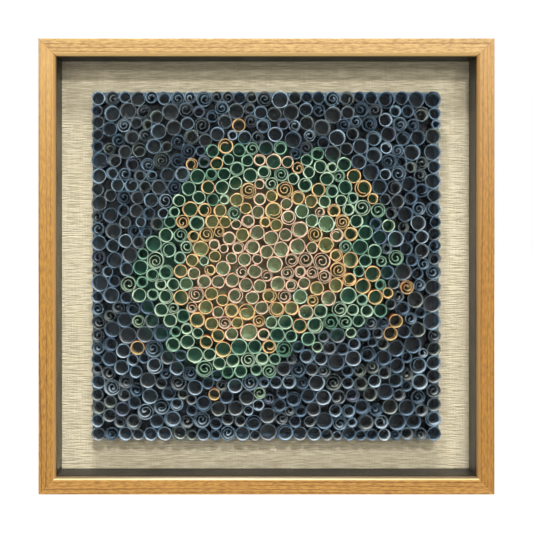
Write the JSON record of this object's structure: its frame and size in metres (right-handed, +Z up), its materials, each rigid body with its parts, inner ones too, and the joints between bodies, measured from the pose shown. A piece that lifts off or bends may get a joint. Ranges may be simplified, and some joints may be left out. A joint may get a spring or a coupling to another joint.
{
  "type": "framed quilled paper art",
  "caption": "Square shadow-box picture frame with a field of rolled paper coils on linen behind glass, to hang or to stand on its lower edge.",
  "frame": {"origin": "middle of the width and of the depth, wall bumpers included, on the lower edge", "axes": "+Z up the picture, -Y out of the glass towards the viewer, +X to the viewer's right"},
  "size_m": [0.6, 0.053, 0.6],
  "materials": {
    "oak": "light oak, open grain, clear satin lacquer",
    "glazing": "clear picture glass",
    "spacer_black": "matt black-brown strip",
    "linen": "cream slub linen",
    "grey_board": "dense mount board",
    "painted_board": "board painted dark blue-green",
    "hardboard": "smooth brown hardboard",
    "paper_warm": "coloured card strip, gold and rose",
    "paper_green": "coloured card strip, deep to mint green",
    "paper_blue": "coloured card strip, navy to steel blue",
    "point_steel": "thin spring steel",
    "zinc_steel": "zinc-plated steel",
    "felt": "dark grey felt"
  },
  "bodies": {
    "root": {"rail_top": "oak", "rail_bottom": "oak", "stile_left": "oak", "stile_right": "oak", "glass_pane": "glazing", "spacer_top": "spacer_black", "spacer_bottom": "spacer_black", "spacer_left": "spacer_black", "spacer_right": "spacer_black", "linen_cover": "linen", "mount_board": "grey_board", "base_board": "painted_board", "coils_surround": "paper_blue", "coils_ring": "paper_green", "coils_centre": "paper_warm", "back_panel": "hardboard", "framers_points": "point_steel", "corner_wedges": "point_steel", "hanger_plate_left": "zinc_steel", "hanger_plate_right": "zinc_steel", "hanger_screws": "zinc_steel", "wall_bumpers": "felt"}
  },
  "joints": []
}
